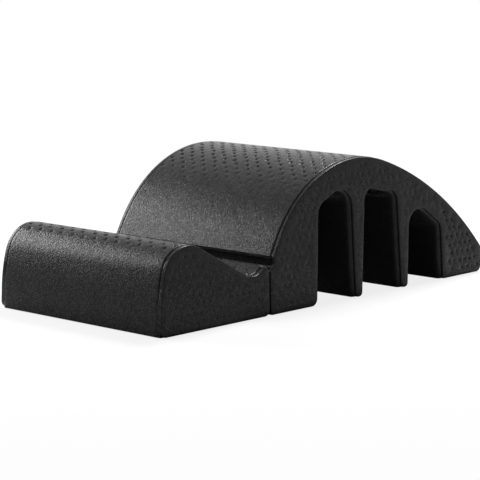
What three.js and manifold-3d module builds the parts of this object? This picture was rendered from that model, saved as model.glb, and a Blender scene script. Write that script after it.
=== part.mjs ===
// Pilates spine corrector in two blocks of moulded bead foam.
// The arch is the barrel that the back lies over. The step is the low wedge in front of its legs.
// Two dovetail keys on the arch drop into blind sockets in the step, so the step lifts straight off.
// Millimetres, +Z up. The origin is on the floor, under the middle of the whole object.
// +X runs from the step to the tail of the arch, and both blocks are symmetrical about Y = 0.

import * as THREE from 'three';
import { mergeVertices } from 'three/addons/utils/BufferGeometryUtils.js';
import Module from 'manifold-3d';

const wasm = await Module();
wasm.setup();

// Whole object
const width = 400;              // across the side faces, at the floor
const sideDraftDegrees = 1.8;   // the side faces lean in, so the mould releases
const seamGap = 0.3;            // between the two blocks

// Moulded edge between the padded skin and the proud side panel
const archPanelInset = 3.6;     // how far the side panel's outline lies inside the arch's skin
const stepPanelInset = 4;       // the same on the step
const archPanelStand = 5.5;     // how far the side panel stands out from the end of the arch's skin
const stepPanelStand = 8;       // the same on the step
const panelRound = 2.5;         // rounding of the panel's own edge
const skinRound = 2;            // rounding of the skin's edge
const floorRound = 3;           // rounding of floor and joint edges
const leastRound = 0.4;         // sharpest corner that an outline closes to when it is inset

// Mouths of the slots through the arch
const mouthLedge = 1.5;         // width of the ledge round the mouth, below the side panel
const mouthRoll = 4.5;          // radius that the ledge rolls into the slot with

// Step: front, rounded crown, straight slope, seat valley and rear lip
const stepLength = 264.7;
const stepFrontLeanDegrees = 1.5;
const stepFrontHeight = 41.3;   // height of the flat part of the front
const browRadius = 254.8;       // slow curve above the flat front
const browTurnDegrees = 14.2;
const crownRadius = 58.9;       // round of the crown, down to the slope
const crownTurnDegrees = 103.2;
const valleyRadius = 44;
const lipInset = 8.4;           // from the step's rear face to the centre of the lip's round
const lipHeight = 86.5;
const lipRadius = 7;
const lipRiseDegrees = 35;      // slope that the valley rises at towards the lip
const lipFallDegrees = 65;      // slope that the lip falls at towards the seam
const lipFootRadius = 6;
const stepFrontFootRadius = 3.5;
const stepSeamFootRadius = 12;
const stepPanelFootRadius = 12; // of the side panel's front corner

// Arch: legs along the floor, measured at the side faces
const frontLegFoot = 124.2;
const firstRibFoot = 18;
const secondRibFoot = 18.3;
const tailFoot = 122;
const seamFootRadius = 6;       // floor corner of the front leg at the seam
const legFootRadius = 13.5;     // its floor corner at the front slot
const ribFootRadius = 8;
const tailFrontFootRadius = 6;
const tailFootRadius = 12;
const tailPanelFootRadius = 14; // of the side panel's rear corner

// Slots through the arch. A slot's cover is the foam above its top line, over its front foot.
// Its two walls close in by the draft, and its top line falls forwards by the tilt.
const frontSlotWidth = 107;
const frontSlotCover = 50.4;
const frontSlotFrontRadius = 28;
const frontSlotRearRadius = 35;
const frontSlotDraftDegrees = 2.3;
const frontSlotTiltDegrees = 24;
const middleSlotWidth = 114.5;
const middleSlotCover = 50.9;
const middleSlotFrontRadius = 24;
const middleSlotRearRadius = 25;
const middleSlotDraftDegrees = 3.3;
const middleSlotTiltDegrees = -12;
const rearSlotWidth = 107.7;
const rearSlotCover = 42;
const rearSlotFrontRadius = 33;
const rearSlotRearRadius = 25;
const rearSlotDraftDegrees = 2.6;
const rearSlotTiltDegrees = -34;
const archSlots = [
  {
    width: frontSlotWidth,
    cover: frontSlotCover,
    frontRadius: frontSlotFrontRadius,
    rearRadius: frontSlotRearRadius,
    draft: frontSlotDraftDegrees,
    tilt: frontSlotTiltDegrees,
  },
  {
    width: middleSlotWidth,
    cover: middleSlotCover,
    frontRadius: middleSlotFrontRadius,
    rearRadius: middleSlotRearRadius,
    draft: middleSlotDraftDegrees,
    tilt: middleSlotTiltDegrees,
  },
  {
    width: rearSlotWidth,
    cover: rearSlotCover,
    frontRadius: rearSlotFrontRadius,
    rearRadius: rearSlotRearRadius,
    draft: rearSlotDraftDegrees,
    tilt: rearSlotTiltDegrees,
  },
];

// Arch: front shoulder, neck up to the skin's lower edge, and the two arcs of the top
const shoulderHeight = 78;
const shoulderRise = 12;        // from there to the foot of the neck
const shoulderRadius = 5;
const neckSetback = 12;         // from the leg's front face to the neck
const neckRadius = 1;
const noseHeight = 100;         // lower edge of the skin
const noseRadius = 6;
const recessDepth = 16;         // shadow recess under the skin's lower edge, behind the step's lip
const recessFloor = 77;
const recessTop = 97;
const recessRound = 4;
const recessEnd = 14;           // from the side face, at the floor, to the end of the recess
const leadRiseDegrees = 62;     // slope that the skin rises at from its lower edge
const leadLength = 25;
const barrelRadius = 247.1;
const barrelTurnDegrees = 79.7;
const tailTopInset = 4.2;       // from the tail's face to the end of the back's arc
const tailTopHeight = 53.2;     // of the end of the back's arc
const tailCornerRadius = 8;

// Dovetail keys on the arch's front leg, and their sockets in the step
const keySpacing = 210;         // between the middles of the two keys
const keyRootWidth = 70;
const keyTipWidth = 92;
const keyDepth = 24;
const keyHeight = 46;
const keyTaper = 1.5;           // how far each flank closes in towards the top
const keyBite = 14;             // how far a key reaches into its leg
const keyClearance = 0.8;
const cutOverrun = 5;           // how far a cut runs past the face that it opens

const archLength = frontLegFoot + firstRibFoot + secondRibFoot + tailFoot
  + archSlots.reduce((sum, slot) => sum + slot.width, 0);
const overallLength = stepLength + seamGap + archLength;

const radians = THREE.MathUtils.degToRad;

// A straight side of an outline runs on a heading, with the foam on its right.
// Its surface is skin, floor, joint or slot, which sets how the edge beside it is moulded.
function sideAt(x, z, degrees, surface) {
  return { x, z, heading: radians(degrees), surface };
}

// Corner between one side and the next. Steps is the number of flat faces round it.
// The side panel may have a radius of its own there.
function corner(radius, steps, panelRadius = radius) {
  return { radius, steps, panelRadius, joined: false };
}

// Corner that starts at the very point where the corner before it ends.
function joinedCorner(radius, steps) {
  return { ...corner(radius, steps), joined: true };
}

// Arcs that run into each other, as the sides at their joins and the corners between them.
function tangentChain(start, arcs) {
  const sides = [start];
  const corners = [];
  arcs.forEach(({ radius, turn, steps }, index) => {
    const last = sides[sides.length - 1];
    const half = radians(turn) / 2;
    const chord = 2 * radius * Math.sin(half);
    const degrees = THREE.MathUtils.radToDeg(last.heading) - turn;
    sides.push(sideAt(
      last.x + chord * Math.cos(last.heading - half),
      last.z + chord * Math.sin(last.heading - half),
      degrees,
      last.surface,
    ));
    corners.push(index > 0 ? joinedCorner(radius, steps) : corner(radius, steps));
  });
  return { sides, corners };
}

// Point where two sides meet once each is moved into the foam by its own inset.
function meetingPoint(a, b, insetA, insetB) {
  const ax = a.x + Math.sin(a.heading) * insetA;
  const az = a.z - Math.cos(a.heading) * insetA;
  const bx = b.x + Math.sin(b.heading) * insetB;
  const bz = b.z - Math.cos(b.heading) * insetB;
  const cross = Math.sin(b.heading - a.heading);
  const along = ((bx - ax) * Math.sin(b.heading) - (bz - az) * Math.cos(b.heading)) / cross;
  return { x: ax + Math.cos(a.heading) * along, z: az + Math.sin(a.heading) * along };
}

// Closed ring of points round an outline. Each surface has its own inset and its own setback
// from the side face. Outside corners close as the outline is inset, and inside ones open.
function ringPoints({ sides, corners }, insets, setbacks, onPanel, hand) {
  const points = [];
  sides.forEach((a, index) => {
    const b = sides[(index + 1) % sides.length];
    const { steps, joined } = corners[index];
    const radius = onPanel ? corners[index].panelRadius : corners[index].radius;
    const insetA = insets[a.surface];
    const insetB = insets[b.surface];
    const tip = meetingPoint(a, b, insetA, insetB);
    const turn = Math.atan2(Math.sin(a.heading - b.heading), Math.cos(a.heading - b.heading));
    const shift = (insetA + insetB) / 2;
    const arc = Math.max(leastRound, turn > 0 ? radius - Math.abs(shift) : radius + shift);
    const reach = arc * Math.tan(Math.abs(turn) / 2);
    const startX = tip.x - Math.cos(a.heading) * reach;
    const startZ = tip.z - Math.sin(a.heading) * reach;
    for (let step = joined ? 1 : 0; step <= steps; step += 1) {
      const share = step / steps;
      const swept = turn * share / 2;
      const chord = 2 * arc * Math.sin(Math.abs(swept));
      const x = startX + Math.cos(a.heading - swept) * chord;
      const z = startZ + Math.sin(a.heading - swept) * chord;
      const setback = THREE.MathUtils.lerp(setbacks[a.surface], setbacks[b.surface], share);
      const y = width / 2 - z * Math.tan(radians(sideDraftDegrees)) - setback;
      points.push(new THREE.Vector3(x, hand * y, z));
    }
  });
  return points;
}

// Skin of triangles through a row of rings, closed by a flat cap on the first and the last.
function loft(rings, flatten) {
  const count = rings[0].length;
  const index = [];
  for (let ring = 0; ring < rings.length - 1; ring += 1) {
    for (let point = 0; point < count; point += 1) {
      const next = (point + 1) % count;
      const a = ring * count + point;
      const b = ring * count + next;
      index.push(a, b, a + count, b, b + count, a + count);
    }
  }
  const lastStart = (rings.length - 1) * count;
  for (const [a, b, c] of THREE.ShapeUtils.triangulateShape(rings[0].map(flatten), [])) {
    index.push(a, c, b);
  }
  for (const [a, b, c] of THREE.ShapeUtils.triangulateShape(rings.at(-1).map(flatten), [])) {
    index.push(lastStart + a, lastStart + b, lastStart + c);
  }
  const geometry = new THREE.BufferGeometry().setFromPoints(rings.flat());
  geometry.setIndex(index);
  return geometry;
}

function toSolid(geometry) {
  const bare = geometry.clone();
  bare.deleteAttribute('normal');
  bare.deleteAttribute('uv');
  const merged = mergeVertices(bare);
  return new wasm.Manifold(new wasm.Mesh({
    numProp: 3,
    vertProperties: new Float32Array(merged.attributes.position.array),
    triVerts: new Uint32Array(merged.index.array),
  }));
}

function toGeometry(solid) {
  const mesh = solid.getMesh();
  const geometry = new THREE.BufferGeometry();
  geometry.setAttribute('position', new THREE.BufferAttribute(mesh.vertProperties, mesh.numProp));
  geometry.setIndex(new THREE.BufferAttribute(mesh.triVerts, 1));
  geometry.computeVertexNormals();
  return geometry;
}

// How far the middle of a quarter round lies from the edge that it rounds, as a share of its radius
const roundMiddleShare = 1 - Math.SQRT1_2;

// Inset and setback at each level from the side face inwards, where a skin steps up to the panel:
// rounded panel, its wall, a ledge and the rounded skin. The first four levels are the panel's.
const panelLevels = 4;
function steppedEdge(panelInset, stand, skinInset, round) {
  return [
    [panelInset + panelRound, 0],
    [panelInset + panelRound * roundMiddleShare, panelRound * roundMiddleShare],
    [panelInset, panelRound],
    [panelInset, stand],
    [skinInset + round, stand],
    [skinInset + round * roundMiddleShare, stand + round * roundMiddleShare],
    [skinInset, stand + round],
  ];
}

// Floor and joint edges are only rounded, then run straight in as far as the other edges need.
function plainEdge(stand) {
  const run = stand - floorRound;
  return [
    [floorRound, 0],
    [floorRound * roundMiddleShare, floorRound * roundMiddleShare],
    [0, floorRound],
    [0, floorRound + run / 2],
    [0, stand],
    [0, stand + run / 2],
    [0, stand + run],
  ];
}

// Block of foam with one outline, moulded alike on both side faces.
function mouldBlock(outline, inset, stand) {
  const edges = {
    skin: steppedEdge(inset, stand, 0, skinRound),
    floor: plainEdge(stand),
    joint: plainEdge(stand),
    slot: steppedEdge(0, stand, -mouthLedge - mouthRoll, mouthRoll),
  };
  const pick = (level, value) => Object.fromEntries(
    Object.entries(edges).map(([surface, rows]) => [surface, rows[level][value]]),
  );
  const levels = edges.skin.map((row, level) => level);
  const ringAt = (level, hand) => (
    ringPoints(outline, pick(level, 0), pick(level, 1), level < panelLevels, hand)
  );
  const near = levels.map((level) => ringAt(level, -1));
  const far = levels.map((level) => ringAt(level, 1));
  return loft([...near, ...far.reverse()], (point) => new THREE.Vector2(point.z, point.x));
}

// Tapered dovetail, wide at its tip. Grow is the clearance added on every face for a socket.
function dovetail(grow, overrun) {
  const level = (z, close) => {
    const root = keyRootWidth / 2 + grow - close;
    const tip = keyTipWidth / 2 + grow - close;
    const flare = (tip - root) / keyDepth;
    const tipX = -keyDepth - grow + close;
    const rootX = keyBite + overrun;
    return [
      new THREE.Vector3(rootX, root - flare * rootX, z),
      new THREE.Vector3(tipX, tip, z),
      new THREE.Vector3(tipX, -tip, z),
      new THREE.Vector3(rootX, -root + flare * rootX, z),
    ];
  };
  return loft(
    [level(-overrun, 0), level(keyHeight + grow, keyTaper)],
    (point) => new THREE.Vector2(point.x, point.y),
  );
}

// The same dovetail, once on each side of the middle, with its root on the joint face.
function dovetailPair(faceX, grow, overrun) {
  const one = dovetail(grow, overrun);
  return [-keySpacing / 2, keySpacing / 2].map((y) => toSolid(one.clone().translate(faceX, y, 0)));
}

function stepOutline() {
  const front = sideAt(0, 0, 90 - stepFrontLeanDegrees, 'skin');
  const flatTop = sideAt(
    stepFrontHeight * Math.tan(radians(stepFrontLeanDegrees)),
    stepFrontHeight,
    90 - stepFrontLeanDegrees,
    'skin',
  );
  const crown = tangentChain(flatTop, [
    { radius: browRadius, turn: browTurnDegrees, steps: 3 },
    { radius: crownRadius, turn: crownTurnDegrees, steps: 17 },
  ]);
  const lipX = stepLength - lipInset;
  const lipZ = lipHeight - lipRadius;
  const rise = sideAt(
    lipX - Math.sin(radians(lipRiseDegrees)) * lipRadius,
    lipZ + Math.cos(radians(lipRiseDegrees)) * lipRadius,
    lipRiseDegrees,
    'skin',
  );
  const fall = sideAt(
    lipX + Math.sin(radians(lipFallDegrees)) * lipRadius,
    lipZ + Math.cos(radians(lipFallDegrees)) * lipRadius,
    -lipFallDegrees,
    'joint',
  );
  return {
    sides: [
      sideAt(0, 0, 180, 'floor'),
      front,
      ...crown.sides.slice(1),
      rise,
      fall,
      sideAt(stepLength, 0, -90, 'joint'),
    ],
    corners: [
      corner(stepFrontFootRadius, 4, stepPanelFootRadius),
      ...crown.corners,
      corner(valleyRadius, 8),
      corner(lipRadius, 8),
      corner(lipFootRadius, 2),
      corner(stepSeamFootRadius, 4),
    ],
  };
}

// Arc that leaves a side on its heading and ends at a point.
function arcTo(start, x, z) {
  const half = start.heading - Math.atan2(z - start.z, x - start.x);
  const chord = Math.hypot(x - start.x, z - start.z);
  return { radius: chord / (2 * Math.sin(half)), turn: THREE.MathUtils.radToDeg(2 * half) };
}

function archOutline() {
  const rise = radians(leadRiseDegrees);
  const leadEnd = sideAt(
    neckSetback + Math.cos(rise) * leadLength,
    noseHeight + Math.sin(rise) * leadLength,
    leadRiseDegrees,
    'skin',
  );
  const barrel = { radius: barrelRadius, turn: barrelTurnDegrees, steps: 20 };
  const barrelEnd = tangentChain(leadEnd, [barrel]).sides.at(-1);
  const back = { ...arcTo(barrelEnd, archLength - tailTopInset, tailTopHeight), steps: 12 };
  const top = tangentChain(leadEnd, [barrel, back]);
  const shoulderSlope = THREE.MathUtils.radToDeg(Math.atan2(shoulderRise, neckSetback));
  const sides = [
    sideAt(0, 0, 90, 'joint'),
    sideAt(0, shoulderHeight, shoulderSlope, 'joint'),
    sideAt(neckSetback, shoulderHeight + shoulderRise, 90, 'skin'),
    sideAt(neckSetback, noseHeight, leadRiseDegrees, 'skin'),
    ...top.sides.slice(1),
    sideAt(archLength, 0, -90, 'skin'),
    sideAt(0, 0, 180, 'floor'),
  ];
  const corners = [
    corner(shoulderRadius, 3),
    corner(neckRadius, 2),
    corner(noseRadius, 2),
    ...top.corners,
    corner(tailCornerRadius, 4),
    corner(tailFootRadius, 4, tailPanelFootRadius),
  ];
  // Height of the top line, on whichever of its two arcs lies over that point
  const topHeight = (x) => {
    const [start, { radius }] = x < barrelEnd.x ? [leadEnd, barrel] : [barrelEnd, back];
    const centreX = start.x + Math.sin(start.heading) * radius;
    const centreZ = start.z - Math.cos(start.heading) * radius;
    return centreZ + Math.sqrt(radius ** 2 - (x - centreX) ** 2);
  };
  // The floor line is cut by the slots, met from the tail forwards
  let rearFoot = archLength - tailFoot;
  const ribFeet = [0, firstRibFoot, secondRibFoot];
  const footRadii = [legFootRadius, ribFootRadius, ribFootRadius, tailFrontFootRadius];
  archSlots.map((slot, index) => ({ ...slot, index })).reverse().forEach((slot) => {
    const frontFoot = rearFoot - slot.width;
    corners.push(corner(footRadii[slot.index + 1], 4));
    sides.push(sideAt(rearFoot, 0, 90 + slot.draft, 'slot'));
    corners.push(corner(slot.rearRadius, 8));
    sides.push(sideAt(frontFoot, topHeight(frontFoot) - slot.cover, 180 + slot.tilt, 'slot'));
    corners.push(corner(slot.frontRadius, 8));
    sides.push(sideAt(frontFoot, 0, -90 - slot.draft, 'slot'));
    corners.push(corner(footRadii[slot.index], 4));
    sides.push(sideAt(0, 0, 180, 'floor'));
    rearFoot = frontFoot - ribFeet[slot.index];
  });
  corners.push(corner(seamFootRadius, 4));
  return { sides, corners };
}

// Recess across the front of the arch, rounded along its two inner corners.
function frontRecess() {
  const middle = recessDepth - recessRound;
  const profile = new THREE.Shape();
  profile.moveTo(-cutOverrun, recessFloor);
  profile.lineTo(middle, recessFloor);
  profile.absarc(middle, recessFloor + recessRound, recessRound, radians(-90), 0, false);
  profile.lineTo(recessDepth, recessTop - recessRound);
  profile.absarc(middle, recessTop - recessRound, recessRound, 0, radians(90), false);
  profile.lineTo(-cutOverrun, recessTop);
  profile.closePath();
  const length = width - 2 * recessEnd;
  return new THREE.ExtrudeGeometry(profile, { depth: length, bevelEnabled: false, curveSegments: 4 })
    .rotateX(radians(90))
    .translate(0, length / 2, 0);
}

function makeStep() {
  const block = toSolid(mouldBlock(stepOutline(), stepPanelInset, stepPanelStand));
  const jointFace = stepLength + seamGap;
  const sockets = dovetailPair(jointFace, keyClearance, cutOverrun);
  return toGeometry(sockets.reduce((solid, socket) => solid.subtract(socket), block));
}

function makeArch() {
  const block = toSolid(mouldBlock(archOutline(), archPanelInset, archPanelStand));
  const keys = dovetailPair(0, 0, 0);
  const keyed = keys.reduce((solid, key) => solid.add(key), block);
  return toGeometry(keyed.subtract(toSolid(frontRecess())));
}

const stepFoam = new THREE.MeshStandardMaterial({ color: 0x2b2b2d, roughness: 0.55, metalness: 0 });
const archFoam = new THREE.MeshStandardMaterial({ color: 0x2b2b2d, roughness: 0.55, metalness: 0 });

const step = new THREE.Mesh(makeStep(), stepFoam);
step.name = 'step_wedge';
step.position.x = -overallLength / 2;

const arch = new THREE.Mesh(makeArch(), archFoam);
arch.name = 'arch_barrel';
arch.position.x = stepLength + seamGap - overallLength / 2;

const spineCorrector = new THREE.Group();
spineCorrector.add(step, arch);

export default spineCorrector;
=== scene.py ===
"""Pilates spine corrector: an arch with three slots, and a low step that lifts off its front.

Both blocks are moulded in EPP bead foam. Sizes in the outlines are millimetres, and the meshes
are in metres.
"""

import math
from collections import namedtuple

import bpy
import numpy as np
from bpy.props import FloatProperty, FloatVectorProperty, PointerProperty
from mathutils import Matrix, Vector, geometry


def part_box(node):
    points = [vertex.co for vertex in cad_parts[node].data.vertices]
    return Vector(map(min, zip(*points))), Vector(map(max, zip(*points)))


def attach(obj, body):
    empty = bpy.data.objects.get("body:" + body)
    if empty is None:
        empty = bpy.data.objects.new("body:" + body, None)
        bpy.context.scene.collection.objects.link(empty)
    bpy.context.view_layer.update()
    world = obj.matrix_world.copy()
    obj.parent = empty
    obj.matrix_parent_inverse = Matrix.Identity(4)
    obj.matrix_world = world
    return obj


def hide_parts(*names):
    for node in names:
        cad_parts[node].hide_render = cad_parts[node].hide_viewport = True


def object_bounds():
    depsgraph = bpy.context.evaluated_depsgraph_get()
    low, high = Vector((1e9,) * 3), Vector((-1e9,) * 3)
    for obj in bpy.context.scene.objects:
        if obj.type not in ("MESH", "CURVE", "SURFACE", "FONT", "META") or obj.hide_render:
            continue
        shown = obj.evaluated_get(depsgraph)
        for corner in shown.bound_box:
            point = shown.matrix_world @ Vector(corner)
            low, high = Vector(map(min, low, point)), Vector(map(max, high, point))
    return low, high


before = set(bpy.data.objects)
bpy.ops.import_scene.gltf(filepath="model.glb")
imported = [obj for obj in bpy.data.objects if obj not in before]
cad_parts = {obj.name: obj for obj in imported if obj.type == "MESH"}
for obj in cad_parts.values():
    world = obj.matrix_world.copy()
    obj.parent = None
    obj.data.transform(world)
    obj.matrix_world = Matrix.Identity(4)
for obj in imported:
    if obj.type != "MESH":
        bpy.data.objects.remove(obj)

bl_info = {
    "name": "Moulded Foam Spine Corrector",
    "version": (1, 0, 0),
    "blender": (4, 5, 0),
    "location": "View3D > Sidebar > Foam Blocks",
    "description": "Builds a spine corrector from two blocks of moulded bead foam",
    "category": "Add Mesh",
}

MM = 0.001
cad_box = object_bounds()
step_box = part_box("step_wedge")
arch_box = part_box("arch_barrel")

# Sizes of the two blocks, in millimetres and degrees
WIDTH = 400
SIDE_DRAFT = 1.8
SEAM_GAP = 0.3

STEP_LENGTH = 264.7
STEP_FRONT_LEAN = 1.5
STEP_FRONT_HEIGHT = 41.3
STEP_BROW = (254.8, 14.2)  # radius and turn of each arc of the step's top
STEP_CROWN = (58.9, 103.2)
VALLEY_RADIUS = 44
LIP_INSET = 8.4
LIP_HEIGHT = 86.5
LIP_RADIUS = 7
LIP_RISE = 35
LIP_FALL = 65
LIP_FOOT_RADIUS = 6
STEP_FRONT_FOOT_RADIUS = 3.5
STEP_SEAM_FOOT_RADIUS = 12
STEP_PANEL_FOOT_RADIUS = 12

FRONT_LEG_FOOT = 124.2
RIB_FEET = (18, 18.3)
TAIL_FOOT = 122
SEAM_FOOT_RADIUS = 6
LEG_FOOT_RADIUS = 13.5
RIB_FOOT_RADIUS = 8
TAIL_FRONT_FOOT_RADIUS = 6
TAIL_FOOT_RADIUS = 12
TAIL_PANEL_FOOT_RADIUS = 14
# Width at the floor, foam over the roof, the roof's two corners, and lean of the walls and the roof
Slot = namedtuple("Slot", "width cover front_radius rear_radius draft tilt")
SLOTS = (
    Slot(107, 50.4, 28, 35, 2.3, 24),
    Slot(114.5, 50.9, 24, 25, 3.3, -12),
    Slot(107.7, 42, 33, 25, 2.6, -34),
)

SHOULDER_HEIGHT = 78
SHOULDER_RISE = 12
SHOULDER_RADIUS = 5
NECK_SETBACK = 12
NECK_RADIUS = 1
NOSE_HEIGHT = 100
NOSE_RADIUS = 6
RECESS_DEPTH = 26
RECESS_FLOOR = 77
RECESS_TOP = 97
RECESS_ROUND = 4
RECESS_STEPS = 5
RECESS_END = 7
NOSE_GROOVE_DEPTH = 4  # dark line under the skin's lower edge, with a thin rim below it
NOSE_GROOVE = (98.4, 101.2)
LEAD_RISE = 62
LEAD_LENGTH = 25
BARREL = (247.1, 79.7)
TAIL_TOP_INSET = 4.2  # from the tail's face to the end of the back's arc
TAIL_TOP_HEIGHT = 53.2
TAIL_CORNER_RADIUS = 8

KEY_SPACING = 210
KEY_ROOT_WIDTH = 70
KEY_TIP_WIDTH = 92
KEY_DEPTH = 24
KEY_HEIGHT = 46
KEY_TAPER = 1.5
KEY_BITE = 14
KEY_CLEARANCE = 0.8
KEY_MIDDLES = (-KEY_SPACING / 2, KEY_SPACING / 2)
CUT_OVERRUN = 5

# Moulded edges
ARCH_PANEL_STAND = 9
STEP_PANEL_STAND = 10
RIM_INSET = 0.8  # the panel's rim stands nearly as high as the skin, so it takes the same light
GROOVE_INSET = 4.2
JOINT_RIM_INSET = 2.4  # a wider gap beside the seam
GROOVE_WIDTH = 2  # slope from the rim down to the floor of the dark groove beside the skin
PANEL_ROUND = 1.6
JOINT_RIM_ROUND = 2
SKIN_ROUND = 2
STEP_GROOVE_FADE = (55, 90)  # heights between which the groove runs out down the step's front
FRONT_HEADINGS = (60, 181)  # of the outline on the front and round its foot
FLOOR_ROUND = 3
LEAST_ROUND = 0.4  # of a corner, however far its sides move
MOUTH_ROUND = 2
MOUTH_STAND = 4.2
MOUTH_LEDGE = 0.5
MOUTH_ROLL = 6.5
MOUTH_ROLL_DEPTH = 20  # into the slot, so that the roll shows as a paler band beside the dark wall
ROUND_STEPS = 4
PANEL_LEVELS = ROUND_STEPS + 3  # levels of the edge that belong to the side panel and its rim
SHARP_ANGLE = 50

# Dimples: small round dents that the mould's steam vents leave, in staggered rows
DIMPLE_ROW = 13.75  # between one row and the next, and half the spacing along a row
DIMPLE_REACH = 6  # from the middle of a dimple to its rim
DIMPLE_STRENGTH = (0.7, 1.1)  # least and greatest depth, as a share of the set one
JITTER = 1.4  # how far a dimple may stray from its place in the row
DIMPLE_COLUMNS = 13  # to each side of the middle line
DIMPLE_SIDE_MARGIN = 20  # from the block's widest line to the middle of the outermost dimple
DIMPLES_FADE = (20, 39)  # slope of the skin over which they fade, from the top down the front
FRONT_DIMPLE_SHARE = 0.04
SKIN_MARGIN = 9.5  # plain skin beside its edges
SHORTEST_DIMPLED_RUN = 60
SMOOTH_RADIUS = 20  # corners of the skin from this radius on carry dimples
GRID_OFFSETS = (-4.58, -2.29, 0, 2.29, 4.58, 6.875)  # mesh lines about each row of dimples
LAST_COLUMN_REACH = 3  # mesh lines this far past the last column still belong to it
SKIN_END_LINES = (2.5, 5.5)  # mesh lines beside the two ends of a stretch of skin
SKIN_END_CLEAR = 7
EDGE_CLEAR = 2  # between the last mesh line across and the rounded edge
PANEL_ROW = 16  # between the rows on a side panel, and between the dimples along them
PANEL_FIRST_ROW = 0.75  # height of the lowest row, as a share of that
PANEL_MARGIN = 11  # plain panel beside its edges
PANEL_DIMPLE_REACH = 4
PANEL_DIMPLE_RINGS = ((0.3, 6), (0.65, 9), (1, 12))  # share of the reach, and points round it
SIDE_DIMPLE_SHARE = 0.3  # depth of the side panels' dimples as a share of the skin's
TAIL_DIMPLE_SHARE = 0.7  # on the tail's panel, where they are plainest
TAIL_PANEL_FRONT = 480
STEP_SEED, ARCH_SEED = 11, 23

# Grain of the foam
BEAD_WANDER = 0.9  # how far the grooves between beads stray, as a share of a bead
BEAD_GROOVE = 0.25  # reach of a groove to each side, as a share of a bead
GROOVE_GLOSS = 0.45  # gloss in the middle of a groove, as a share of a bead's
GRAIN_HEIGHT = 2.8  # height of the fine grain against the depth of a groove
CLOUD_SIZE = 50  # soft patches that come from uneven steaming
BEAD_SHADE = 0.6  # how much each bead's own shade counts against the clouds
BEAD_GLOSS = 0.5  # and its own gloss against the fine grain
ROUGHNESS_SWING = 0.03
DIMPLE_RIM_DENT = 0.7  # from this depth on, a dimple carries its full painted shade and its least gloss

# Studio, in metres and degrees. Lamps are placed from the middle of the blocks.
FLOOR_HALF = 30
FLOOR_DROP = 0.0005
FLOOR_MOTTLE = 0.985  # the darkest patches of the paint, against the palest
DARK_FLOOR_INSET = 0.01  # the floor stays dark in reflections from here inwards, under the blocks
MIRROR_FADE = 0.3
WHITE_FADE = 1.5
BACK_LAMP_PLACE, BACK_LAMP_SIZE = (-0.706, 2.05, 0.87), (1.77, 1.25)
TOP_LAMP_PLACE, TOP_LAMP_SIZE = (1.43, 0.3, 2.4), (1.0, 1.0)
CAMERA_BEFORE_TAIL = 3.125  # along X, from the tail's face
CAMERA_SIDE, CAMERA_HEIGHT = -2.452, 0.672
CAMERA_TURN = (80.91, 0, -47.24)
SENSOR_WIDTH = 36  # millimetres

SKIN, FLOOR, JOINT, SLOT = "skin", "floor", "joint", "slot"
Side = namedtuple("Side", "x z heading surface")
Corner = namedtuple("Corner", "radius steps panel_radius joined")
Arc = namedtuple("Arc", "x z heading turn radius")


def side(x, z, degrees, surface):
    """A straight side runs on a heading, with the foam on its right."""
    return Side(x, z, math.radians(degrees), surface)


def corner(radius, steps, panel_radius=None, joined=False):
    """Rounded corner between two sides. The side panel may have a radius of its own there."""
    return Corner(radius, steps, radius if panel_radius is None else panel_radius, joined)


def tangent_chain(start, arcs):
    """Sides at the joins of arcs that run into each other, and the corners between them."""
    sides, corners = [start], []
    for index, (radius, turn) in enumerate(arcs):
        last = sides[-1]
        half = math.radians(turn) / 2
        chord = 2 * radius * math.sin(half)
        sides.append(
            Side(
                last.x + chord * math.cos(last.heading - half),
                last.z + chord * math.sin(last.heading - half),
                last.heading - 2 * half,
                last.surface,
            )
        )
        corners.append(corner(radius, 8, joined=index > 0))
    return sides, corners


def arc_to(start, x, z):
    """Radius and turn of the arc that leaves a side on its heading and ends at a point."""
    heading = math.atan2(z - start.z, x - start.x)
    half = start.heading - heading
    chord = math.hypot(x - start.x, z - start.z)
    return chord / (2 * math.sin(half)), math.degrees(2 * half)


def step_outline():
    """Sides and corners of the step, from its underside round the front, the seat and the seam."""
    front = side(0, 0, 90 - STEP_FRONT_LEAN, SKIN)
    flat_top = side(
        STEP_FRONT_HEIGHT * math.tan(math.radians(STEP_FRONT_LEAN)),
        STEP_FRONT_HEIGHT,
        90 - STEP_FRONT_LEAN,
        SKIN,
    )
    crown_sides, crown_corners = tangent_chain(flat_top, (STEP_BROW, STEP_CROWN))
    lip = LIP_RADIUS
    lip_x, lip_z = STEP_LENGTH - LIP_INSET, LIP_HEIGHT - lip
    rise, fall = math.radians(LIP_RISE), math.radians(LIP_FALL)
    sides = [
        side(0, 0, 180, FLOOR),
        front,
        *crown_sides[1:],
        side(lip_x - math.sin(rise) * lip, lip_z + math.cos(rise) * lip, LIP_RISE, SKIN),
        side(lip_x + math.sin(fall) * lip, lip_z + math.cos(fall) * lip, -LIP_FALL, JOINT),
        side(STEP_LENGTH, 0, -90, JOINT),
    ]
    corners = [
        corner(STEP_FRONT_FOOT_RADIUS, 8, STEP_PANEL_FOOT_RADIUS),
        *crown_corners,
        corner(VALLEY_RADIUS, 10),
        corner(LIP_RADIUS, 10),
        corner(LIP_FOOT_RADIUS, 4),
        corner(STEP_SEAM_FOOT_RADIUS, 8),
    ]
    return sides, corners


def arch_length():
    """From the front of the arch to the face of its tail."""
    return FRONT_LEG_FOOT + sum(RIB_FEET) + TAIL_FOOT + sum(slot.width for slot in SLOTS)


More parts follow.
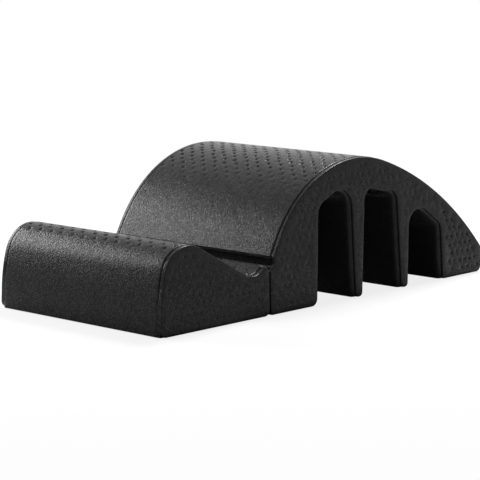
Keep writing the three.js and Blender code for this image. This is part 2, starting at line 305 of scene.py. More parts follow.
def arch_outline():
    """Sides and corners of the arch, from the seam over the back, the tail and the slots."""
    lead = math.radians(LEAD_RISE)
    lead_end = side(
        NECK_SETBACK + math.cos(lead) * LEAD_LENGTH,
        NOSE_HEIGHT + math.sin(lead) * LEAD_LENGTH,
        LEAD_RISE,
        SKIN,
    )
    barrel_end = tangent_chain(lead_end, (BARREL,))[0][-1]
    back = arc_to(barrel_end, arch_length() - TAIL_TOP_INSET, TAIL_TOP_HEIGHT)
    top_sides, top_corners = tangent_chain(lead_end, (BARREL, back))

    def top_height(x):
        """Height of the top line, on whichever of its two arcs lies over that point."""
        start, radius = (lead_end, BARREL[0]) if x < barrel_end.x else (barrel_end, back[0])
        centre_x = start.x + math.sin(start.heading) * radius
        centre_z = start.z - math.cos(start.heading) * radius
        return centre_z + math.sqrt(radius**2 - (x - centre_x) ** 2)

    shoulder_slope = math.degrees(math.atan2(SHOULDER_RISE, NECK_SETBACK))
    sides = [
        side(0, 0, 90, JOINT),
        side(0, SHOULDER_HEIGHT, shoulder_slope, JOINT),
        side(NECK_SETBACK, SHOULDER_HEIGHT + SHOULDER_RISE, 90, SKIN),
        side(NECK_SETBACK, NOSE_HEIGHT, LEAD_RISE, SKIN),
        *top_sides[1:],
        side(arch_length(), 0, -90, SKIN),
        side(0, 0, 180, FLOOR),
    ]
    corners = [
        corner(SHOULDER_RADIUS, 4),
        corner(NECK_RADIUS, 2),
        corner(NOSE_RADIUS, 4),
        *top_corners,
        corner(TAIL_CORNER_RADIUS, 6),
        corner(TAIL_FOOT_RADIUS, 8, TAIL_PANEL_FOOT_RADIUS),
    ]
    rear_foot = arch_length() - TAIL_FOOT
    foot_radii = (LEG_FOOT_RADIUS, RIB_FOOT_RADIUS, RIB_FOOT_RADIUS, TAIL_FRONT_FOOT_RADIUS)
    for index in reversed(range(len(SLOTS))):
        slot = SLOTS[index]
        front_foot = rear_foot - slot.width
        sides += [
            side(rear_foot, 0, 90 + slot.draft, SLOT),
            side(front_foot, top_height(front_foot) - slot.cover, 180 + slot.tilt, SLOT),
            side(front_foot, 0, -90 - slot.draft, SLOT),
            side(0, 0, 180, FLOOR),
        ]
        corners += [
            corner(foot_radii[index + 1], 6),
            corner(slot.rear_radius, 10),
            corner(slot.front_radius, 10),
            corner(foot_radii[index], 6),
        ]
        rear_foot = front_foot - (RIB_FEET[index - 1] if index else 0)
    corners.append(corner(SEAM_FOOT_RADIUS, 6))
    return sides, corners


def meeting_point(a, b, inset_a, inset_b):
    """Point where two sides meet once each is moved into the foam by its own inset."""
    ax, az = a.x + math.sin(a.heading) * inset_a, a.z - math.cos(a.heading) * inset_a
    bx, bz = b.x + math.sin(b.heading) * inset_b, b.z - math.cos(b.heading) * inset_b
    cross = math.sin(b.heading - a.heading)
    along = ((bx - ax) * math.sin(b.heading) - (bz - az) * math.cos(b.heading)) / cross
    return ax + math.cos(a.heading) * along, az + math.sin(a.heading) * along


def inset_arcs(outline, insets, on_panel=False):
    """The rounded corners of an outline, once every surface is moved into the foam by its inset."""
    sides, corners = outline
    arcs = []
    for index, a in enumerate(sides):
        b = sides[(index + 1) % len(sides)]
        shift = (insets[a.surface] + insets[b.surface]) / 2
        x, z = meeting_point(a, b, insets[a.surface], insets[b.surface])
        turn = math.atan2(math.sin(a.heading - b.heading), math.cos(a.heading - b.heading))
        radius = corners[index].panel_radius if on_panel else corners[index].radius
        radius = max(LEAST_ROUND, radius - abs(shift) if turn > 0 else radius + shift)
        reach = radius * math.tan(abs(turn) / 2)
        x, z = x - math.cos(a.heading) * reach, z - math.sin(a.heading) * reach
        arcs.append(Arc(x, z, a.heading, turn, radius))
    return arcs


def on_arc(arc, share):
    """Point and heading at a share of the way round a corner."""
    swept = arc.turn * share / 2
    chord = 2 * arc.radius * math.sin(abs(swept))
    return (
        arc.x + math.cos(arc.heading - swept) * chord,
        arc.z + math.sin(arc.heading - swept) * chord,
        arc.heading - 2 * swept,
    )


def lattice_lines(low, high):
    """Mesh lines between two limits, close together at each row of dimples, and the rows themselves."""
    count = int((high - low) // DIMPLE_ROW)
    first = (low + high - count * DIMPLE_ROW) / 2
    rows = [first + index * DIMPLE_ROW for index in range(count + 1)]
    return sorted(row + offset for row in rows for offset in GRID_OFFSETS), rows


def outline_stations(outline):
    """Where the points of every ring lie: on a corner or on a side, and at which share of it.

    The skin gets close stations about its rows of dimples. Returns them with each station's
    distance along the skin, and the places of the rows.
    """
    sides, corners = outline
    arcs = inset_arcs(outline, dict.fromkeys((SKIN, FLOOR, JOINT, SLOT), 0))
    parts, position = [], 0.0
    for index, a in enumerate(sides):
        if not corners[index].joined:
            start = on_arc(arcs[index - 1], 1)
            length = math.hypot(arcs[index].x - start[0], arcs[index].z - start[1])
            parts.append((False, index, a.surface == SKIN, length))
        b = sides[(index + 1) % len(sides)]
        smooth = a.surface == b.surface == SKIN and corners[index].radius > SMOOTH_RADIUS
        parts.append((True, index, smooth, arcs[index].radius * abs(arcs[index].turn)))
    stations, along, run, rows = [], [], [], []

    def close_run():
        """Sets the stations of one stretch of skin, and gives its length."""
        total = sum(length for _, _, length in run)
        if total < SHORTEST_DIMPLED_RUN:
            lines, found = [total / 4, total / 2, total * 3 / 4], []
        else:
            lines, found = lattice_lines(SKIN_MARGIN, total - SKIN_MARGIN)
            inner_lines = [v for v in lines if SKIN_END_CLEAR < v < total - SKIN_END_CLEAR]
            lines = [*SKIN_END_LINES, *inner_lines, *(total - v for v in reversed(SKIN_END_LINES))]
        rows.extend(position + row for row in found)
        start = 0.0
        for is_corner, index, length in run:
            for line in lines:
                if start < line <= start + length:
                    stations.append((is_corner, index, (line - start) / length))
                    along.append(position + line)
            start += length
        run.clear()
        return total

    for is_corner, index, smooth, length in parts:
        if smooth:
            run.append((is_corner, index, length))
            continue
        if run:
            position += close_run()
        if is_corner:
            steps = corners[index].steps
            first = 1 if corners[index].joined else 0
            for step in range(first, steps + 1):
                stations.append((True, index, step / steps))
                along.append(-1.0)
    if run:
        position += close_run()
    return stations, np.array(along), rows


def ring(outline, stations, insets, setbacks, on_panel):
    """X, distance from the middle plane, Z and heading of every station at one level of the edge."""
    sides, _ = outline
    arcs = inset_arcs(outline, insets, on_panel)
    points = []
    for is_corner, index, share in stations:
        a, b = sides[index], sides[(index + 1) % len(sides)]
        if is_corner:
            x, z, heading = on_arc(arcs[index], share)
            setback = setbacks[a.surface] + (setbacks[b.surface] - setbacks[a.surface]) * share
        else:
            x0, z0, _ = on_arc(arcs[index - 1], 1)
            x, z = x0 + (arcs[index].x - x0) * share, z0 + (arcs[index].z - z0) * share
            heading, setback = a.heading, setbacks[a.surface]
        y = WIDTH / 2 - z * math.tan(math.radians(SIDE_DRAFT)) - setback
        points.append((x, y, z, heading))
    return np.array(points)


def quarter(start, end):
    """Points of a quarter round from one (inset, setback) pair to another."""
    (x0, y0), (x1, y1) = start, end
    rows = []
    for step in range(ROUND_STEPS + 1):
        angle = math.radians(90) * step / ROUND_STEPS
        rows.append((x0 + (x1 - x0) * math.sin(angle), y0 + (y1 - y0) * (1 - math.cos(angle))))
    return rows


def stepped_edge(rim_inset, rim_round, floor_inset, stand, skin_inset, rounding, depth):
    """Inset and setback at each level where a skin meets the side panel.

    The panel's rounded rim comes first, then a groove and the rounded skin.
    """
    return [
        *quarter((rim_inset + rim_round, 0), (rim_inset, rim_round)),
        (rim_inset, stand - GROOVE_WIDTH),
        (floor_inset, stand),
        *quarter((skin_inset + rounding, stand), (skin_inset, stand + depth)),
    ]


def edge_rows(stand, stepped_joint):
    """Inset and setback at each level from the side face inwards, for each kind of surface."""
    skin = stepped_edge(RIM_INSET, PANEL_ROUND, GROOVE_INSET, stand, 0, SKIN_ROUND, SKIN_ROUND)
    plain = quarter((FLOOR_ROUND, 0), (0, FLOOR_ROUND))
    spare = len(skin) - len(plain)
    run = stand + SKIN_ROUND - FLOOR_ROUND
    plain += [(0, FLOOR_ROUND + run * (row + 1) / spare) for row in range(spare)]
    rolled = -MOUTH_LEDGE - MOUTH_ROLL
    mouth = stepped_edge(0, MOUTH_ROUND, 0, MOUTH_STAND, rolled, MOUTH_ROLL, MOUTH_ROLL_DEPTH)
    joint = plain
    if stepped_joint:
        rim = (JOINT_RIM_INSET, JOINT_RIM_ROUND)
        joint = stepped_edge(*rim, GROOVE_INSET, stand, 0, SKIN_ROUND, SKIN_ROUND)
    return {SKIN: skin, FLOOR: plain, JOINT: joint, SLOT: mouth}


def run_out_groove(rings, edge, low, high):
    """Lets the groove beside an upright front run out downwards, from one height to another."""
    for level in range(PANEL_LEVELS - 1, len(rings)):
        deep = max(0, edge[level][0] - RIM_INSET)
        height, heading = rings[level][:, 2], rings[level][:, 3]
        first, last = np.radians(FRONT_HEADINGS)
        front = (heading > first) & (heading < last)
        share = np.clip((high - height) / (high - low), 0, 1) * front
        rings[level][:, 0] -= deep * share * np.sin(heading)
        rings[level][:, 2] += deep * share * np.maximum(np.cos(heading), 0)


def draw_dimple(random):
    """How far a dimple strays from its place, in both directions, and how strong it is."""
    first, second = random.uniform(-JITTER, JITTER, 2)
    return first, second, random.uniform(*DIMPLE_STRENGTH)


def dimple_depth(across, along, rows, depth, seed):
    """How deep the skin lies below its plain form, in the staggered lattice of dimples."""
    random = np.random.default_rng(seed)
    sunk = np.zeros((len(across), len(along)))
    for number, row in enumerate(rows):
        near = np.flatnonzero(np.abs(along - row) < DIMPLE_REACH + JITTER)
        if not len(near):
            continue
        for column in range(-DIMPLE_COLUMNS - 1, DIMPLE_COLUMNS + 2):
            dx, dy, strength = draw_dimple(random)
            if (column + number) % 2:
                continue
            centre = column * DIMPLE_ROW + dx
            if abs(centre) > WIDTH / 2 - DIMPLE_SIDE_MARGIN:
                continue
            beside = np.flatnonzero(np.abs(across - centre) < DIMPLE_REACH)
            away = np.hypot(across[beside][:, None] - centre, along[near][None, :] - row - dy)
            bowl = np.cos(np.clip(away / DIMPLE_REACH, 0, 1) * math.pi / 2) ** 2
            sunk[np.ix_(beside, near)] += bowl * strength * depth
    return sunk


def inside_margin(loop, x, z):
    """Distance from a point to a closed loop, negative outside it."""
    a, b = loop, np.roll(loop, -1, axis=0)
    edge = b - a
    point = np.array([x, z])
    share = np.clip(((point - a) * edge).sum(1) / np.maximum((edge**2).sum(1), 1e-12), 0, 1)
    away = np.hypot(*(a + edge * share[:, None] - point).T).min()
    crossing = (a[:, 1] > z) != (b[:, 1] > z)
    at = a[:, 0] + (z - a[:, 1]) / np.where(crossing, edge[:, 1], 1) * edge[:, 0]
    return away if (crossing & (at > x)).sum() % 2 else -away


def cap_faces(loop, deepest, seed):
    """Points and faces of a side panel, with its dimples. The loop's own points come first."""
    random = np.random.default_rng(seed)
    points, sunk = [tuple(p) for p in loop], [0.0] * len(loop)
    low, high = loop.min(0), loop.max(0)
    rows = range(int((high[1] - low[1]) / PANEL_ROW) + 1)
    columns = range(int((high[0] - low[0]) / PANEL_ROW) + 1)
    for row in rows:
        for column in columns:
            dx, dz, strength = draw_dimple(random)
            x = low[0] + (column + row % 2 / 2) * PANEL_ROW + dx
            z = low[1] + (row + PANEL_FIRST_ROW) * PANEL_ROW + dz
            if inside_margin(loop, x, z) < PANEL_MARGIN:
                continue
            part = TAIL_DIMPLE_SHARE if x > TAIL_PANEL_FRONT else SIDE_DIMPLE_SHARE
            depth = deepest * strength * part
            points.append((x, z))
            sunk.append(depth)
            for reach, count in PANEL_DIMPLE_RINGS:
                out = reach * PANEL_DIMPLE_REACH
                for turn in range(count):
                    angle = 2 * math.pi * turn / count
                    points.append((x + math.cos(angle) * out, z + math.sin(angle) * out))
                    sunk.append(depth * math.cos(reach * math.pi / 2) ** 2)
    inside_only, tolerance = 1, 1e-6
    border = list(range(len(loop)))
    found = geometry.delaunay_2d_cdt([Vector(p) for p in points], [], [border], inside_only, tolerance)
    vertices, _, faces, origins = found[:4]
    if len(vertices) != len(points):
        raise RuntimeError("the side panel's triangles moved its outline")
    order = [source[0] for source in origins]
    return points, sunk, [[order[v] for v in face] for face in faces]


def dimpled_skin(inner, along, rows, depth, seed):
    """Lines of points across the block from one inner ring to the other, and how deep each is sunk."""
    last = DIMPLE_ROW * DIMPLE_COLUMNS
    lines = np.array([v for v in lattice_lines(-last, last)[0] if abs(v) <= last + LAST_COLUMN_REACH])
    reach = np.minimum(lines[-1], inner[:, 1] - EDGE_CLEAR)
    across = lines[:, None] / lines[-1] * reach[None, :]
    x, z, slope = inner[:, 0], inner[:, 2], inner[:, 3]
    fade = np.clip((np.radians(DIMPLES_FADE[1]) - slope) / np.radians(np.ptp(DIMPLES_FADE)), 0, 1)
    share = FRONT_DIMPLE_SHARE + (1 - FRONT_DIMPLE_SHARE) * fade
    sunk = dimple_depth(lines, along, rows, depth, seed) * share
    x, z = x + np.sin(slope) * sunk, z - np.cos(slope) * sunk
    return [np.c_[x[i], across[i], z[i]] for i in range(len(lines))], sunk


def mould_block(outline, stand, stepped_joint, groove_fade, depth, seed):
    """Points, faces and dents of a block with one outline, moulded alike on both side faces."""
    stations, along, rows = outline_stations(outline)
    edges = edge_rows(stand, stepped_joint)
    rings = []
    for level in range(len(edges[SKIN])):
        insets = {surface: edge[level][0] for surface, edge in edges.items()}
        setbacks = {surface: edge[level][1] for surface, edge in edges.items()}
        rings.append(ring(outline, stations, insets, setbacks, level < PANEL_LEVELS))
    if groove_fade:
        run_out_groove(rings, edges[SKIN], *groove_fade)
    near = [level[:, :3] * (1, -1, 1) for level in rings]
    middle, sunk = dimpled_skin(rings[-1], along, rows, depth, seed)
    far = [level[:, :3] for level in reversed(rings)]
    loops = [*near, *middle, *far]
    count = len(stations)
    points = np.concatenate(loops)
    dents = np.concatenate([np.zeros(count * len(near)), sunk.ravel(), np.zeros(count * len(far))])
    here = np.arange(count)
    following = np.roll(here, -1)
    starts = np.arange(len(loops) - 1)[:, None] * count
    quads = (starts + here, starts + here + count, starts + following + count, starts + following)
    faces = np.stack(quads, axis=-1).reshape(-1, 4).tolist()
    slope = math.tan(math.radians(SIDE_DRAFT))
    for hand, first in ((-1, 0), (1, (len(loops) - 1) * count)):
        loop = points[first : first + count][:, [0, 2]]
        flat, sunk_by, triangles = cap_faces(loop, depth, seed + hand)
        added = [
            (x, hand * (WIDTH / 2 - z * slope - by), z)
            for (x, z), by in zip(flat[count:], sunk_by[count:])
        ]
        names = np.r_[first + here, len(points) + np.arange(len(added))]
        points = np.concatenate([points, np.reshape(added, (-1, 3))])
        dents = np.concatenate([dents, sunk_by[count:]])
        faces += [[int(names[v]) for v in face] for face in triangles]
    return points, faces, dents / max(depth, 1e-6)


def mesh_piece(name, points, faces, shift, dents=None):
    """New object from points in millimetres, moved by shift and scaled to metres.

    Dents, from 0 on plain skin to 1 deep in a dimple, are kept as an attribute for the material, which
    darkens the dimples with painted shade and lowers their gloss.
    """
    mesh = bpy.data.meshes.new(name)
    mesh.from_pydata(((points + np.array(shift)) * MM).tolist(), [], faces)
    mesh.update()
    if dents is not None:
        mesh.attributes.new("dent", "FLOAT", "POINT").data.foreach_set("value", dents)
    piece = bpy.data.objects.new(name, mesh)
    bpy.context.scene.collection.objects.link(piece)
    select_only(piece)
    bpy.ops.object.mode_set(mode="EDIT")
    bpy.ops.mesh.select_all(action="SELECT")
    bpy.ops.mesh.normals_make_consistent(inside=False)
    bpy.ops.object.mode_set(mode="OBJECT")
    return piece


def select_only(piece):
    """Makes one object the only selected and active one."""
    bpy.ops.object.select_all(action="DESELECT")
    bpy.context.view_layer.objects.active = piece
    piece.select_set(True)


def dovetail(face_x, middle_y, grow, overrun):
    """Corners and faces of a tapered dovetail, wide at its tip. A socket grows by its clearance."""
    points = []
    for z, close in ((-overrun, 0), (KEY_HEIGHT + grow, KEY_TAPER)):
        root = KEY_ROOT_WIDTH / 2 + grow - close
        tip = KEY_TIP_WIDTH / 2 + grow - close
        flare = (tip - root) / KEY_DEPTH
        tip_x, root_x = -KEY_DEPTH - grow + close, KEY_BITE + overrun
        wide = root - flare * root_x
        for x, y in ((root_x, wide), (tip_x, tip), (tip_x, -tip), (root_x, -wide)):
            points.append((face_x + x, middle_y + y, z))
    faces = [(3, 2, 1, 0), (4, 5, 6, 7), (0, 1, 5, 4), (1, 2, 6, 5), (2, 3, 7, 6), (3, 0, 4, 7)]
    return np.array(points), faces


def bar_across(profile, end):
    """Bar with one profile in X and Z, from one end to the other across the block."""
    points = np.array([(x, y, z) for y in (-end, end) for x, z in profile])
    count = len(profile)
    faces = [tuple(range(count)), tuple(range(2 * count - 1, count - 1, -1))]
    faces += [(i, i + count, (i + 1) % count + count, (i + 1) % count) for i in range(count)]
    return points, faces


def recess_bar():
    """Cuts the shadow recess across the front of the arch, behind the step's lip."""
    profile = [(-CUT_OVERRUN, RECESS_FLOOR)]
    middle = RECESS_DEPTH - RECESS_ROUND
    for centre, first in ((RECESS_FLOOR + RECESS_ROUND, -90), (RECESS_TOP - RECESS_ROUND, 0)):
        for step in range(RECESS_STEPS + 1):
            angle = math.radians(first + 90 * step / RECESS_STEPS)
            x, z = RECESS_ROUND * math.cos(angle), RECESS_ROUND * math.sin(angle)
            profile.append((middle + x, centre + z))
    profile.append((-CUT_OVERRUN, RECESS_TOP))
    return bar_across(profile, WIDTH / 2 - RECESS_END)


def nose_bar():
    """Cuts the fine groove under the skin's lower edge, above the recess."""
    low, high = NOSE_GROOVE
    back = NECK_SETBACK + NOSE_GROOVE_DEPTH
    profile = [(-CUT_OVERRUN, low), (back, low), (back, high), (-CUT_OVERRUN, high)]
    return bar_across(profile, WIDTH / 2 - RECESS_END)


def combine(piece, operation, tools, shift):
    """Joins tools to a piece or cuts them from it, and leaves one closed mesh."""
    for number, (points, faces) in enumerate(tools):
        tool = mesh_piece(f"tool_{number}", points, faces, shift)
        select_only(piece)
        cut = piece.modifiers.new("tool", "BOOLEAN")
        cut.operation, cut.object, cut.solver = operation, tool, "MANIFOLD"
        bpy.ops.object.modifier_apply(modifier=cut.name)
        mesh = tool.data
        bpy.data.objects.remove(tool)
        bpy.data.meshes.remove(mesh)


def finish_piece(piece, node, body, material):
    """Shades a block smoothly between its edges, dresses it and hangs it on its body."""
    mesh = piece.data
    mesh.polygons.foreach_set("use_smooth", np.ones(len(mesh.polygons), bool))
    mesh.set_sharp_from_angle(angle=math.radians(SHARP_ANGLE))
    mesh.materials.clear()
    mesh.materials.append(material)
    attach(piece, body)
    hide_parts(node)


def linear(code):
    """Linear colour from an sRGB hex code."""
    parts = [int(code[i : i + 2], 16) / 255 for i in (1, 3, 5)]
    return tuple(v / 12.92 if v <= 0.04045 else ((v + 0.055) / 1.055) ** 2.4 for v in parts)


def add(tree, kind, values=None, links=None, **settings):
    """Adds a shader node with its settings, the values of its inputs, and the links into them."""
    node = tree.nodes.new("ShaderNode" + kind)
    for name, value in settings.items():
        setattr(node, name, value)
    for name, value in (values or {}).items():
        node.inputs[name].default_value = value
    for name, source in (links or {}).items():
        tree.links.new(source, node.inputs[name])
    return node


def maths(tree, operation, *inputs, kind="Math"):
    """Output of a maths node. Each input is a value, or the socket that drives it."""
    node = add(tree, kind, operation=operation)
    for socket, value in zip(node.inputs, inputs):
        if isinstance(value, bpy.types.NodeSocket):
            tree.links.new(value, socket)
        else:
            socket.default_value = value
    return node.outputs["Value" if operation == "LENGTH" else 0]


def spread(tree, source, low, high, start=0.0, end=1.0, **settings):
    """Maps the range from low to high of a value to the range from start to end."""
    values = {"From Min": low, "From Max": high, "To Min": start, "To Max": end}
    return add(tree, "MapRange", values, {"Value": source}, **settings).outputs[0]


def blend(tree, share, first, second):
    """Mixes two colours. Each is a linear colour, or the socket that gives it."""
    node = add(tree, "Mix", {}, {0: share}, data_type="RGBA")
    for number, colour in ((6, first), (7, second)):
        if isinstance(colour, bpy.types.NodeSocket):
            tree.links.new(colour, node.inputs[number])
        else:
            node.inputs[number].default_value = (*colour, 1)
    return node.outputs[2]


def new_material(name):
    """Empty node material, its tree, and the socket of the object's own coordinates."""
    material = bpy.data.materials.new(name)
    material.use_nodes = True
    tree = material.node_tree
    tree.nodes.clear()
    return material, tree, add(tree, "TexCoord").outputs["Object"]


def pressed_beads(tree, place, size):
    """Each bead's own random colour, and its flatness: 1 on the bead and less in the grooves."""
    stray = add(tree, "TexNoise", {"Scale": 0.5 / size, "Detail": 2.0}, {"Vector": place})
    shift = maths(tree, "SUBTRACT", stray.outputs["Color"], (0.5, 0.5, 0.5), kind="VectorMath")
    bent = maths(tree, "MULTIPLY_ADD", shift, (size * BEAD_WANDER,) * 3, place, kind="VectorMath")
    scale, links = {"Scale": 1 / size}, {"Vector": bent}
    cells = add(tree, "TexVoronoi", scale, links)
    walls = add(tree, "TexVoronoi", scale, links, feature="DISTANCE_TO_EDGE").outputs["Distance"]
    flat = spread(tree, walls, 0, BEAD_GROOVE, GROOVE_GLOSS, interpolation_type="SMOOTHSTEP")
    return add(tree, "SeparateColor", {}, {"Color": cells.outputs["Color"]}).outputs, flat


def moulded_bead_foam(name, look):
    """Expanded polypropylene, steam-moulded from black beads.

    The beads press into flat cells with fine grooves between them, and the hot mould leaves a thin
    satin skin, so the eye gets a black surface with a mottled grey grain. Real beads are 2 to 3 mm
    wide. They and the grain are drawn coarser, because finer ones don't show at the photo's size.
    The dimples' floors are drawn less glossy, and darker with painted shade.
    """
    material, tree, place = new_material(name)
    bead, flat = pressed_beads(tree, place, look.bead_size)
    fine = {"Scale": 1 / look.grain_size, "Detail": 3.0, "Roughness": 0.6}
    grain = add(tree, "TexNoise", fine, {"Vector": place}).outputs["Fac"]
    soft = {"Scale": 1 / (CLOUD_SIZE * MM), "Detail": 3.0}
    cloud = add(tree, "TexNoise", soft, {"Vector": place}).outputs["Fac"]
    shade = maths(tree, "MULTIPLY_ADD", bead["Red"], BEAD_SHADE, cloud)
    colour = blend(tree, spread(tree, shade, 0.35, 1.2), look.deep_colour, look.bead_colour)
    shine = maths(tree, "MULTIPLY_ADD", bead["Green"], BEAD_GLOSS, grain)
    glosses = [look.skin_gloss * (1 + swing) for swing in (-look.patchiness, look.patchiness)]
    polish = spread(tree, shine, 0.4, 1.1, *glosses)
    # Painted shade: the deeper a dimple, the more its colour is drawn towards the groove colour, and
    # the lower its gloss
    dent = add(tree, "Attribute", attribute_name="dent").outputs["Fac"]
    dull_and_shaded = spread(tree, dent, 0, DIMPLE_RIM_DENT, 1, 1 - look.dent_painted_shade_and_gloss_loss)
    even = maths(tree, "MULTIPLY", dull_and_shaded, flat)
    roughnesses = [look.skin_roughness + swing for swing in (-ROUGHNESS_SWING, ROUGHNESS_SWING)]
    height = maths(tree, "MULTIPLY_ADD", grain, GRAIN_HEIGHT, flat)
    relief = {"Strength": 1.0, "Distance": look.bead_relief}
    looks = {
        "Base Color": blend(tree, even, look.groove_and_dimple_shade_colour, colour),
        "Roughness": spread(tree, cloud, 0.3, 0.7, *roughnesses),
        "Specular IOR Level": maths(tree, "MULTIPLY", polish, even),
        "Normal": add(tree, "Bump", relief, {"Height": height}).outputs[0],
    }
    surface = add(tree, "BsdfPrincipled", {}, looks).outputs[0]
    add(tree, "OutputMaterial", {}, {"Surface": surface})
    return material


def studio_white(name, ground):
    """Matt painted studio floor. It is shown white to the camera and keeps soft shadows."""
    material, tree, place = new_material(name)
    mottle = add(tree, "TexNoise", {"Scale": 3.0, "Detail": 2.0}, {"Vector": place}).outputs["Fac"]
    darker = tuple(part * FLOOR_MOTTLE for part in ground.floor_colour)
    colour = blend(tree, mottle, ground.floor_colour, darker)
    matt = {"Roughness": 0.9, "Specular IOR Level": 0.0}
    paint = add(tree, "BsdfPrincipled", matt, {"Base Color": colour}).outputs[0]
    glow = add(tree, "Emission", {"Color": (1, 1, 1, 1), "Strength": 1.0}).outputs[0]
    folded = maths(tree, "ABSOLUTE", place, kind="VectorMath")
    reach = (cad_box[1].x - DARK_FLOOR_INSET, cad_box[1].y - DARK_FLOOR_INSET, 0)
    past = maths(tree, "SUBTRACT", folded, reach, kind="VectorMath")
    clear = maths(tree, "MAXIMUM", past, (0, 0, 0), kind="VectorMath")
    away = maths(tree, "LENGTH", clear, kind="VectorMath")
    seen = seen_directly(tree, spread(tree, away, 0, MIRROR_FADE))
    lift = spread(tree, away, 0, WHITE_FADE, ground.floor_white)
    share = maths(tree, "MULTIPLY", seen, lift)
    both = add(tree, "MixShader", {}, {0: share, 1: paint, 2: glow}).outputs[0]
    add(tree, "OutputMaterial", {}, {"Surface": both})
    return material


def seen_directly(tree, mirrored=None):
    """1 for rays that look at the background, in a camera's view, a reflection or through glass.

    With the second socket, a reflection counts by that share only, so the floor stays dark under
    the blocks.
    """
    path = add(tree, "LightPath").outputs
    glossy = path["Is Glossy Ray"]
    if mirrored is not None:
        glossy = maths(tree, "MULTIPLY", glossy, mirrored)
    either = maths(tree, "MAXIMUM", path["Is Camera Ray"], glossy)
    return maths(tree, "MAXIMUM", either, path["Is Transmission Ray"])


def lay_floor(ground):
    """Wide flat floor, just under the blocks."""
    mesh = bpy.data.meshes.new("studio_floor")
    corners = [(x * FLOOR_HALF, y * FLOOR_HALF, 0) for x, y in ((-1, -1), (1, -1), (1, 1), (-1, 1))]
    mesh.from_pydata(corners, [], [(0, 1, 2, 3)])
    mesh.materials.append(studio_white("matt_studio_white", ground))
    floor = bpy.data.objects.new("studio_floor", mesh)
    floor.location.z = cad_box[0].z - FLOOR_DROP
    bpy.context.scene.collection.objects.link(floor)


def hang_lamp(name, offset, size, power):
    """Soft box at a place seen from the middle of the blocks, and turned to face it."""
    light = bpy.data.lights.new(name, "AREA")
    light.shape, light.energy = "RECTANGLE", power
    light.size, light.size_y = size
    lamp = bpy.data.objects.new(name, light)
    lamp.location = (cad_box[0] + cad_box[1]) / 2 + Vector(offset)
    lamp.rotation_mode = "QUATERNION"
    lamp.rotation_quaternion = Vector(offset).to_track_quat("Z", "Y")
    bpy.context.scene.collection.objects.link(lamp)


def light_room(strength):
    """Even light from all round, in front of a background that is seen as plain white."""
    world = bpy.data.worlds.new("studio_room")
    world.use_nodes = True
    tree = world.node_tree
    tree.nodes.clear()
    room = add(tree, "Background", {"Color": (1, 1, 1, 1), "Strength": strength}).outputs[0]
    white = add(tree, "Background", {"Color": (1, 1, 1, 1), "Strength": 1.0}).outputs[0]
    both = add(tree, "MixShader", {}, {0: seen_directly(tree), 1: room, 2: white}).outputs[0]
    add(tree, "OutputWorld", {}, {"Surface": both})
    bpy.context.scene.world = world


def place_camera(lens):
    """Camera at the photo's place, angle and framing."""
    eye = bpy.data.cameras.new("photo_camera")
    eye.sensor_width, eye.lens = SENSOR_WIDTH, lens
    camera = bpy.data.objects.new("photo_camera", eye)
    camera.location = (arch_box[1].x - CAMERA_BEFORE_TAIL, CAMERA_SIDE, CAMERA_HEIGHT)
    camera.rotation_euler = tuple(math.radians(part) for part in CAMERA_TURN)
    bpy.context.scene.collection.objects.link(camera)
    bpy.context.scene.camera = camera


class FoamLook(bpy.types.PropertyGroup):
    """Sizes and colours of the moulded foam"""

    dimple_depth: FloatProperty(
        name="Dimple depth",
        description="Depth of the small dents in the skin",
        default=2.4 * MM,
        min=0,
        max=3 * MM,
        unit="LENGTH",
    )
    bead_size: FloatProperty(
        name="Bead size",
        description="Width of one pressed bead on the surface",
        default=4.2 * MM,
        min=1 * MM,
        max=8 * MM,
        unit="LENGTH",
    )
    grain_size: FloatProperty(
        name="Grain size",
        description="Width of the fine grain that the mould leaves on the beads",
        default=3.1 * MM,
        min=0.5 * MM,
        max=8 * MM,
        unit="LENGTH",
    )
    bead_relief: FloatProperty(
        name="Bead relief",
        description="Depth of the grooves between beads, and of the grain on them",
        default=0.16 * MM,
        min=0,
        max=2 * MM,
        unit="LENGTH",
    )
    bead_colour: FloatVectorProperty(
        name="Bead colour",
        description="Colour of the palest beads",
        default=linear("#202022"),
        size=3,
        min=0,
        max=1,
        subtype="COLOR",
    )
    deep_colour: FloatVectorProperty(
        name="Deep colour",
        description="Colour of the darkest beads",
        default=linear("#1B1B1D"),
        size=3,
        min=0,
        max=1,
        subtype="COLOR",
    )
    # Also the colour that the dimples are darkened towards, as painted shade in their hollows
    groove_and_dimple_shade_colour: FloatVectorProperty(
        name="Groove colour",
        description="Colour in the grooves between beads",
        default=linear("#161617"),
        size=3,
        min=0,
        max=1,
        subtype="COLOR",
    )
    skin_roughness: FloatProperty(
        name="Skin roughness",
        description="Roughness of the satin skin that the hot mould leaves",
        default=0.22,
        min=0.1,
        max=0.9,
        subtype="FACTOR",
    )
    # Painted shade in the dimples: how far their colour is darkened, and their gloss lowered, with
    # depth
    dent_painted_shade_and_gloss_loss: FloatProperty(
        name="Dent shade",
        description="How much duller and darker the foam is in the dimples, off the hot mould",
        default=0.68,
        min=0,
        max=1,
        subtype="FACTOR",
    )
    patchiness: FloatProperty(
        name="Patchiness",
        description="How much the gloss differs from bead to bead",
        default=0.35,
        min=0,
        max=1,
        subtype="FACTOR",
    )
    skin_gloss: FloatProperty(
        name="Skin gloss",
        description="Strength of the reflections on the skin",
        default=0.155,
        min=0,
        max=1,
        subtype="FACTOR",
    )


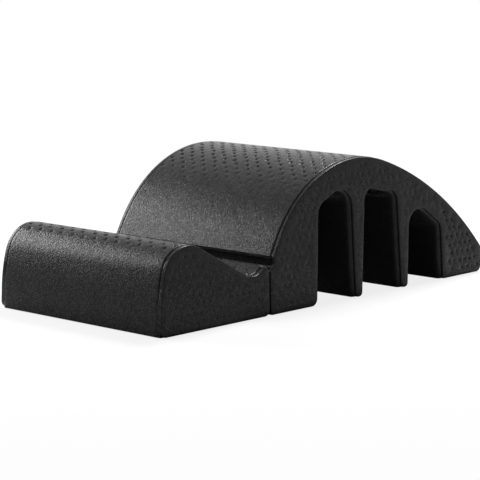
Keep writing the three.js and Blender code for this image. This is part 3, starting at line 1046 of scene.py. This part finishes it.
class StudioLook(bpy.types.PropertyGroup):
    """Floor, lamps and camera"""

    floor_colour: FloatVectorProperty(
        name="Floor colour",
        description="Colour of the studio floor",
        default=linear("#DADADA"),
        size=3,
        min=0,
        max=1,
        subtype="COLOR",
    )
    floor_white: FloatProperty(
        name="Floor white",
        description="How far the floor is lifted to plain white beside the blocks, and wholly far away",
        default=0.82,
        min=0,
        max=1,
        subtype="FACTOR",
    )
    back_lamp: FloatProperty(
        name="Back lamp",
        description="Power of the large soft lamp behind on the left",
        default=86,
        min=0,
        subtype="POWER",
        unit="POWER",
    )
    top_lamp: FloatProperty(
        name="Top lamp",
        description="Power of the soft lamp above on the right",
        default=150,
        min=0,
        subtype="POWER",
        unit="POWER",
    )
    room_light: FloatProperty(
        name="Room light",
        description="Strength of the even light from the room",
        default=0.12,
        min=0,
        max=1,
        subtype="FACTOR",
    )
    lens: FloatProperty(
        name="Lens",
        description="Focal length of the camera",
        default=150,
        min=20,
        max=300,
        subtype="DISTANCE_CAMERA",
    )


class FOAM_OT_mould_step(bpy.types.Operator):
    """Mould the low step with its rounded crown, seat valley and rear lip"""

    bl_idname = "foam.mould_step"
    bl_label = "Mould Step"

    def execute(self, context):
        look = context.scene.foam_look
        depth = look.dimple_depth / MM
        points, faces, dents = mould_block(
            step_outline(), STEP_PANEL_STAND, False, STEP_GROOVE_FADE, depth, STEP_SEED
        )
        shift = (step_box[1].x / MM - STEP_LENGTH, 0, 0)
        piece = mesh_piece("step_foam_block", points, faces, shift, dents)
        seam = STEP_LENGTH + SEAM_GAP
        sockets = [dovetail(seam, middle, KEY_CLEARANCE, CUT_OVERRUN) for middle in KEY_MIDDLES]
        combine(piece, "DIFFERENCE", sockets, shift)
        foam = moulded_bead_foam("moulded_epp_step", look)
        finish_piece(piece, "step_wedge", "step", foam)
        return {"FINISHED"}


class FOAM_OT_mould_arch(bpy.types.Operator):
    """Mould the arch with its three slots, front recess and dovetail keys"""

    bl_idname = "foam.mould_arch"
    bl_label = "Mould Arch"

    def execute(self, context):
        look = context.scene.foam_look
        depth = look.dimple_depth / MM
        points, faces, dents = mould_block(
            arch_outline(), ARCH_PANEL_STAND, True, None, depth, ARCH_SEED
        )
        shift = (arch_box[1].x / MM - arch_length(), 0, 0)
        piece = mesh_piece("arch_foam_block", points, faces, shift, dents)
        keys = [dovetail(0, middle, 0, 0) for middle in KEY_MIDDLES]
        combine(piece, "UNION", keys, shift)
        combine(piece, "DIFFERENCE", [recess_bar(), nose_bar()], shift)
        foam = moulded_bead_foam("moulded_epp_arch", look)
        finish_piece(piece, "arch_barrel", "arch", foam)
        return {"FINISHED"}


class STUDIO_OT_set_stage(bpy.types.Operator):
    """Lay the pale floor, hang the soft lamps and place the camera"""

    bl_idname = "studio.set_stage"
    bl_label = "Set Stage"

    def execute(self, context):
        ground = context.scene.studio_look
        lay_floor(ground)
        hang_lamp("back_left_soft_box", BACK_LAMP_PLACE, BACK_LAMP_SIZE, ground.back_lamp)
        hang_lamp("top_right_soft_box", TOP_LAMP_PLACE, TOP_LAMP_SIZE, ground.top_lamp)
        light_room(ground.room_light)
        place_camera(ground.lens)
        context.scene.view_settings.view_transform = "Standard"
        return {"FINISHED"}


class FOAM_PT_blocks(bpy.types.Panel):
    """Lists the settings and the pieces"""

    bl_idname = "FOAM_PT_blocks"
    bl_label = "Spine Corrector"
    bl_space_type = "VIEW_3D"
    bl_region_type = "UI"
    bl_category = "Foam Blocks"

    def draw(self, context):
        layout = self.layout
        for group in (context.scene.foam_look, context.scene.studio_look):
            column = layout.column(align=True)
            for name in group.__annotations__:
                column.prop(group, name)
        for operator in OPERATORS:
            layout.operator(operator.bl_idname)


OPERATORS = (FOAM_OT_mould_step, FOAM_OT_mould_arch, STUDIO_OT_set_stage)
CLASSES = (FoamLook, StudioLook, *OPERATORS, FOAM_PT_blocks)


def register():
    """Registers the classes and keeps their settings on the scene."""
    for item in CLASSES:
        bpy.utils.register_class(item)
    bpy.types.Scene.foam_look = PointerProperty(type=FoamLook)
    bpy.types.Scene.studio_look = PointerProperty(type=StudioLook)


def unregister():
    """Removes the settings and the classes again."""
    del bpy.types.Scene.studio_look
    del bpy.types.Scene.foam_look
    for item in reversed(CLASSES):
        bpy.utils.unregister_class(item)


def main():
    """Builds the blocks and the studio."""
    register()
    bpy.ops.foam.mould_step()
    bpy.ops.foam.mould_arch()
    bpy.ops.studio.set_stage()


if __name__ == "__main__":
    main()
